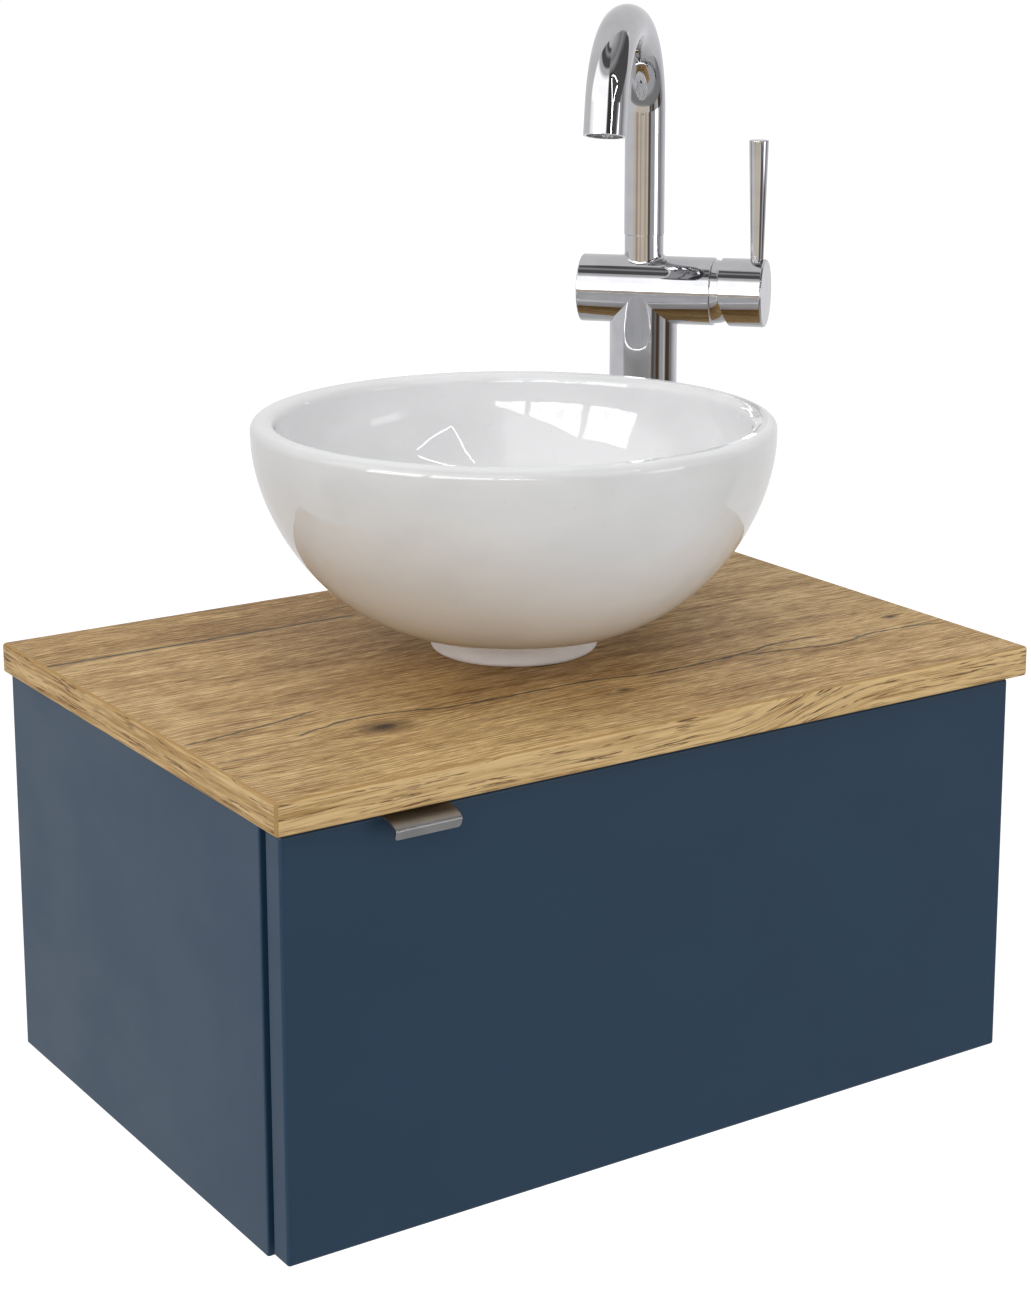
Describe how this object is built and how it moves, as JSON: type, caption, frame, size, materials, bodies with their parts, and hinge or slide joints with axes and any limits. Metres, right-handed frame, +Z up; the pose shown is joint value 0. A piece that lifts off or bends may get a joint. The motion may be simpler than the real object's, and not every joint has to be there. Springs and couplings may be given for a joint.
{
  "type": "vessel sink on vanity",
  "caption": "Wall-hung wash stand: a low dark blue cabinet with a hinged door, a wood-look top, a round white vessel basin and a tall chrome mixer with a swivel spout and a pin lever.",
  "frame": {"origin": "bottom centre of the whole stand, at the underside of the cabinet", "axes": "+X to the right along the front, +Y from the front towards the wall, +Z up"},
  "size_m": [0.5, 0.3454, 0.6214],
  "materials": {
    "wood_laminate": "satin wood-grain laminate",
    "blue_lacquer": "matt dark blue lacquered board",
    "beech": "plain beech",
    "satin_nickel": "satin nickel",
    "zinc_steel": "zinc-plated",
    "glazed_white": "white gloss glaze",
    "unglazed_white": "matt white, unglazed",
    "chrome_plate": "bright chrome",
    "raw_brass": "turned brass",
    "white_plastic": "white polypropylene",
    "grey_plastic": "grey moulded plastic",
    "black_rubber": "soft black rubber"
  },
  "bodies": {
    "vanity": {"countertop": "wood_laminate", "edge_band_front": "wood_laminate", "edge_band_left": "wood_laminate", "edge_band_right": "wood_laminate", "side_panel_left": "blue_lacquer", "side_panel_right": "blue_lacquer", "bottom_panel": "blue_lacquer", "top_rail": "blue_lacquer", "back_rail": "blue_lacquer", "carcass_dowels": "beech", "counter_brackets": "zinc_steel", "counter_screws": "zinc_steel", "hanger_left": "grey_plastic", "hanger_right": "grey_plastic", "wall_plates": "zinc_steel", "hinge_plates": "satin_nickel", "hinge_plate_screws": "zinc_steel", "hinge_arms": "satin_nickel", "hinge_arm_pins": "zinc_steel", "basin": "glazed_white", "foot_ring": "unglazed_white", "foot_seal": "black_rubber", "drain_body": "chrome_plate", "drain_washer": "black_rubber", "drain_nut": "grey_plastic", "tailpiece": "white_plastic", "tailpiece_nut": "white_plastic", "trap_body": "white_plastic", "trap_nut": "white_plastic", "trap_cup": "white_plastic", "outlet_pipe": "white_plastic", "outlet_nut": "white_plastic", "wall_rosette": "white_plastic", "mixer_body": "chrome_plate", "mixer_shank": "raw_brass", "mixer_washer": "black_rubber", "mixer_nut": "raw_brass", "cartridge": "grey_plastic", "cartridge_nut": "raw_brass", "dome_cap": "chrome_plate"},
    "hinge_links": {"hinge_links": "satin_nickel"},
    "door": {"door_panel": "blue_lacquer", "door_handle": "satin_nickel", "handle_screws": "zinc_steel", "hinge_cups": "satin_nickel", "hinge_cup_screws": "zinc_steel", "hinge_cup_pins": "zinc_steel", "door_bumpers": "black_rubber"},
    "drain_plug": {"drain_plug": "chrome_plate"},
    "spout": {"spout": "chrome_plate", "spout_seals": "black_rubber", "aerator": "grey_plastic"},
    "mixing_rotor": {"cartridge_rotor": "grey_plastic", "rotor_pin": "zinc_steel"},
    "lever": {"lever_hub": "chrome_plate", "lever_stem": "raw_brass", "lever_rod": "chrome_plate", "lever_screw": "zinc_steel"}
  },
  "joints": [
    {"name": "hinge_link_swing", "type": "hinge", "parent": "vanity", "child": "hinge_links", "pos_m": [0.198, -0.136, 0.11725], "axis": [0, 0, 1], "range_deg": [-30, 0]},
    {"name": "door_swing", "type": "hinge", "parent": "hinge_links", "child": "door", "pos_m": [0.233, -0.146, 0.11725], "axis": [0, 0, 1], "range_deg": [0, 130]},
    {"name": "drain_plug_lift", "type": "slide", "parent": "vanity", "child": "drain_plug", "axis": [0, 0, 1], "range_m": [0, 0.008]},
    {"name": "spout_swivel", "type": "hinge", "parent": "vanity", "child": "spout", "pos_m": [0.18, 0.12275, 0.55], "axis": [0, 0, 1], "range_deg": [-90, 90]},
    {"name": "temperature", "type": "hinge", "parent": "vanity", "child": "mixing_rotor", "pos_m": [0.18, 0.12275, 0.4365], "axis": [0.6691, -0.7431, 0], "range_deg": [-45, 45]},
    {"name": "flow", "type": "hinge", "parent": "mixing_rotor", "child": "lever", "pos_m": [0.21145, 0.08782, 0.4365], "axis": [0.7431, 0.6691, 0], "range_deg": [0, 20]}
  ],
  "couplings": [
    {"joint": "hinge_link_swing", "follows": "door_swing", "ratio": -0.23077}
  ]
}
